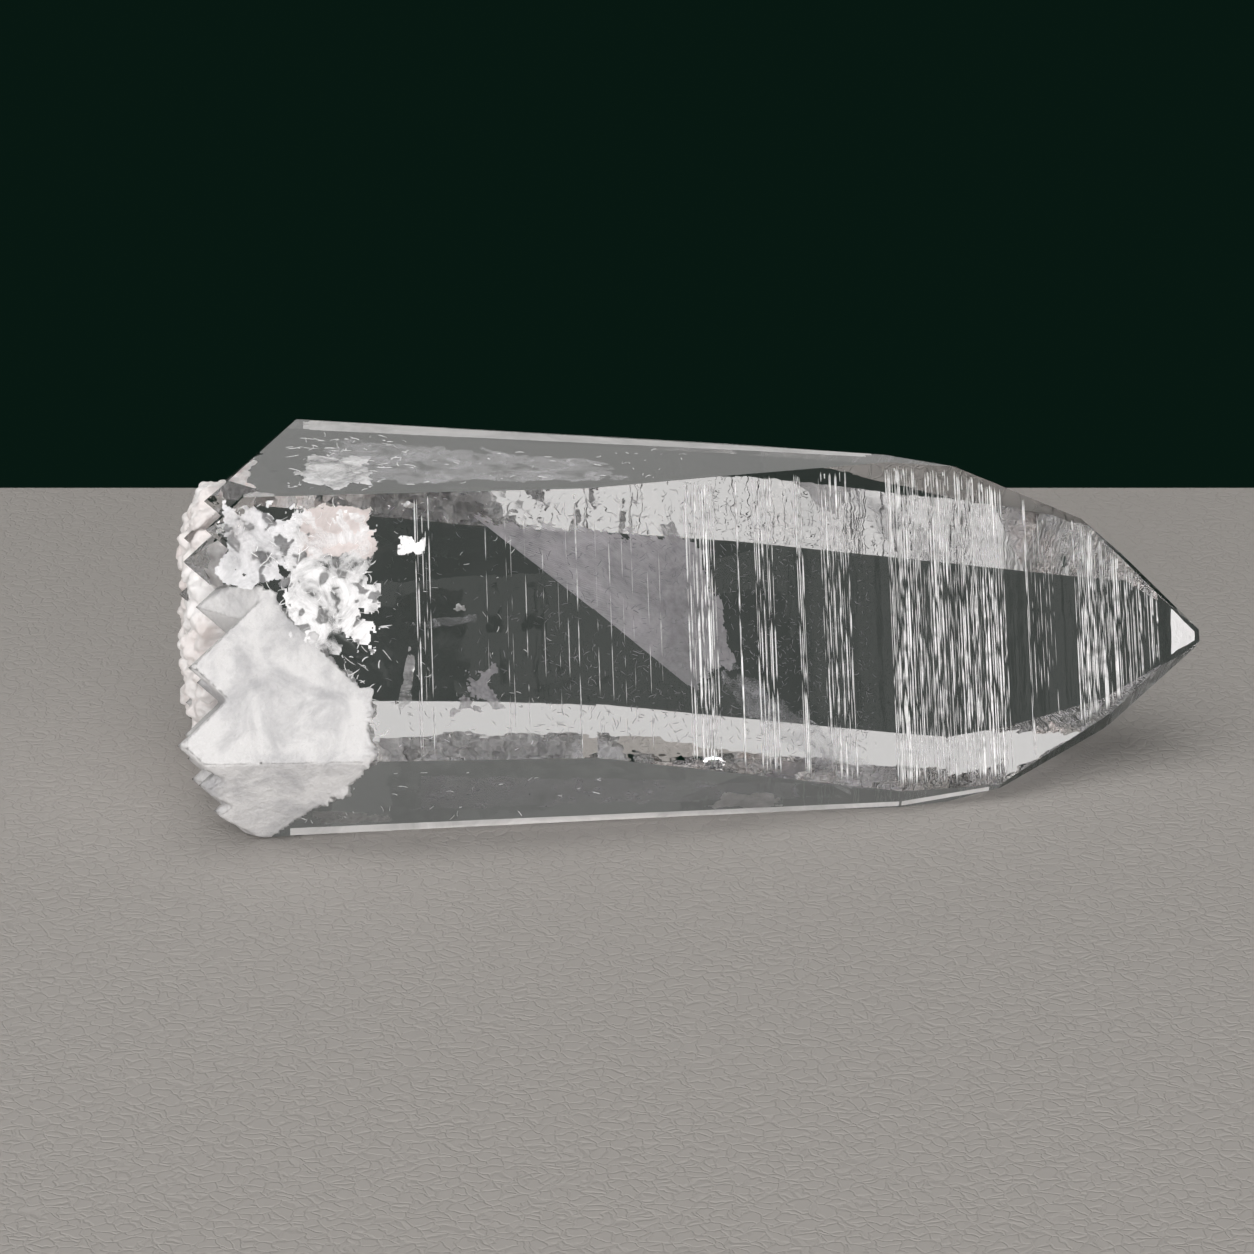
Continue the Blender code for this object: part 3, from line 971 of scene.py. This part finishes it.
def ball_mesh():
    """Points and faces of a ball of radius 1."""
    bm = bmesh.new()
    bmesh.ops.create_icosphere(bm, subdivisions=2, radius=1.0)
    bm.verts.index_update()
    verts = [vert.co.copy() for vert in bm.verts]
    faces = [[vert.index for vert in face.verts] for face in bm.faces]
    bm.free()
    return verts, faces


def crust():
    """The knobbly crust over the rear of the broken end."""
    random.seed(5)
    turn = math.pi * (3.0 - math.sqrt(5.0))
    corner, normal = slant_plane()
    verts, faces = ball_mesh()
    points, polygons = [], []
    for i in range(CRUST_KNOBS):
        share = math.sqrt((i + 0.5) / CRUST_KNOBS)
        radius = random.uniform(*CRUST_RADIUS)
        centre = at((
            CRUST_X - random.uniform(*CRUST_RISE) + CRUST_RIM_DEPTH * max(0.0, share - CRUST_RIM),
            CRUST_CENTRE[0] + share * CRUST_HALF[0] * math.cos(i * turn),
            CRUST_CENTRE[1] + share * CRUST_HALF[1] * math.sin(i * turn),
        ))
        centre -= normal * max(0.0, (centre - corner).dot(normal))
        polygons += [[v + len(points) for v in face] for face in faces]
        for vert in verts:
            root = Vector((CRUST_ROOT * MM if vert.x > 0.0 else 0.0, 0.0, 0.0))
            points.append(centre + vert * radius * MM + root)
    mesh = bpy.data.meshes.new("crust")
    mesh.from_pydata(points, [], polygons)
    obj = bpy.data.objects.new("crust", mesh)
    bpy.context.collection.objects.link(obj)
    voxel_shape(obj, CRUST_VOXEL, CRUST_SMOOTHING)
    roughen(obj, CRUST_GRAIN)
    obj.data.polygons.foreach_set("use_smooth", [True] * len(obj.data.polygons))
    obj.data.materials.clear()
    obj.data.materials.append(crust_material())
    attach(obj, "root")


# ---------------------------------------------------------------- sheets

def patchy_material(name, color, scale, low, high, roughness, solid):
    """A skin that shows where its noise is high: low and high bound the fade, solid its cover."""
    made = material(name, Base_Color=color, Roughness=roughness)
    nodes, links = made.node_tree.nodes, made.node_tree.links
    shader = nodes["Principled BSDF"]
    place = nodes.new("ShaderNodeTexCoord")
    patches = nodes.new("ShaderNodeTexNoise")
    patches.inputs["Scale"].default_value = scale
    patches.inputs["Detail"].default_value = 8.0
    patches.inputs["Roughness"].default_value = 0.65
    patches.inputs["Distortion"].default_value = 0.8
    cover = nodes.new("ShaderNodeMapRange")
    cover.inputs["From Min"].default_value = low
    cover.inputs["From Max"].default_value = high
    cover.inputs["To Max"].default_value = solid
    grain = nodes.new("ShaderNodeBump")
    grain.inputs["Strength"].default_value = 0.6
    grain.inputs["Distance"].default_value = 0.0004
    links.new(place.outputs["Object"], patches.inputs["Vector"])
    links.new(patches.outputs["Fac"], cover.inputs["Value"])
    links.new(cover.outputs["Result"], shader.inputs["Alpha"])
    links.new(patches.outputs["Fac"], grain.inputs["Height"])
    links.new(grain.outputs["Normal"], shader.inputs["Normal"])
    return made


def skins():
    """The materials of the sheets."""
    return {
        "pink_skin": patchy_material("pink_skin", (0.78, 0.71, 0.695, 1.0), 160.0, 0.0, 0.65, 0.4, 0.85),
        "fractured_skin": patchy_material(
            "fractured_skin", (0.93, 0.93, 0.94, 1.0), 260.0, 0.32, 0.60, 0.3, 0.92
        ),
        "thin_skin": patchy_material("thin_skin", (0.9, 0.9, 0.92, 1.0), 220.0, 0.25, 0.66, 0.3, 0.75),
        "white_skin": patchy_material("white_skin", (0.95, 0.95, 0.96, 1.0), 400.0, 0.1, 0.4, 0.3, 0.95),
        "grey_veil": patchy_material("grey_veil", (0.86, 0.84, 0.88, 1.0), 150.0, 0.0, 0.85, 0.5, 0.8),
        "faint_veil": patchy_material("faint_veil", (0.8, 0.8, 0.84, 1.0), 400.0, 0.35, 0.75, 0.5, 0.5),
        "soft_white": patchy_material("soft_white", (0.93, 0.93, 0.93, 1.0), 150.0, 0.2, 0.7, 0.4, 0.85),
        # The rims' white is painted highlight along the crystal's edges.
        "painted_rim_light": patchy_material("painted_rim_light", (0.96, 0.95, 0.95, 1.0), 90.0, 0.0, 0.7, 0.3, 0.7),
    }


def sheet(name, face, corners, relief, finish, ragged, straight):
    """A thin closed sheet between four corners, with a ragged edge, crumpled by relief mm.

    It ends where its face ends.
    """
    first, second, third, fourth = (Vector(corner) for corner in corners)
    normal = Vector((0.0, *face_direction(face)))
    bm = bmesh.new()
    grid = []
    inside = []
    for row in range(SHEET_CELLS + 1):
        v = row / SHEET_CELLS
        line = []
        kept = []
        for column in range(SHEET_CELLS + 1):
            u = column / SHEET_CELLS
            spot = first.lerp(second, u).lerp(fourth.lerp(third, u), v)
            low, high = face_edges(face, spot.x)
            kept.append(low < spot.y < high)
            point = on_face(face, *spot)
            lift = relief * noise.noise(point / (SHEET_FOLD * MM))
            lift += SHEET_FINE_SHARE * relief * noise.noise(point / (SHEET_FINE_FOLD * MM))
            line.append(bm.verts.new(point + normal * lift * MM))
        grid.append(line)
        inside.append(kept)
    for row in range(SHEET_CELLS):
        for column in range(SHEET_CELLS):
            u, v = column / SHEET_CELLS, row / SHEET_CELLS
            corner = grid[row][column]
            edge = min(u, 1.0 - u, 1.0 if straight else v, 1.0 - v)
            torn = ragged * (0.5 + noise.fractal(corner.co / (SHEET_TEAR * MM), 0.8, 2.0, 4))
            if edge > torn and inside[row][column] and inside[row + 1][column]:
                bm.faces.new((
                    corner, grid[row][column + 1], grid[row + 1][column + 1], grid[row + 1][column]
                ))
    bmesh.ops.delete(bm, geom=[v for v in bm.verts if not v.link_faces], context="VERTS")
    bmesh.ops.solidify(bm, geom=bm.faces[:], thickness=SHEET_THICKNESS * MM)
    obj = mesh_object(name, bm)
    obj.data.materials.append(finish)
    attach(obj, "root")
    return obj


def sheets():
    """All sheets. The rims, painted highlights along the crystal's edges, are left out of what is seen
    through or reflected in the crystal.
    """
    finishes = skins()
    for name, (face, corners, relief, skin, ragged, straight) in SHEETS.items():
        obj = sheet(name, face, corners, relief, finishes[skin], ragged, straight)
        obj.visible_transmission = skin != "painted_rim_light"
        obj.visible_glossy = skin != "painted_rim_light"


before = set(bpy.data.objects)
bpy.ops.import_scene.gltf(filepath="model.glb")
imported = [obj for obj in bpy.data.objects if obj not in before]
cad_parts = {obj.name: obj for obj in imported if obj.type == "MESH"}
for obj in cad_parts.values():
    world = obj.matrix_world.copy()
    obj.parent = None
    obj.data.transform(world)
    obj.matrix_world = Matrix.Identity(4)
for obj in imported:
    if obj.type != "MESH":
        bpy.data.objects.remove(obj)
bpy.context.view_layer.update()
camera()
floor()
lights()
cluster = pyramid_cluster()
quartz = crystal(cluster)
growth_lines()
core = milky_core(cluster)
scratches(quartz, core)
crust()
sheets()
bpy.data.objects.remove(cluster)

scene = bpy.context.scene
scene.view_settings.view_transform = "Standard"
scene.cycles.use_denoising = True
scene.cycles.max_bounces = 24
scene.cycles.transmission_bounces = 24
scene.cycles.diffuse_bounces = 8
scene.cycles.glossy_bounces = 16
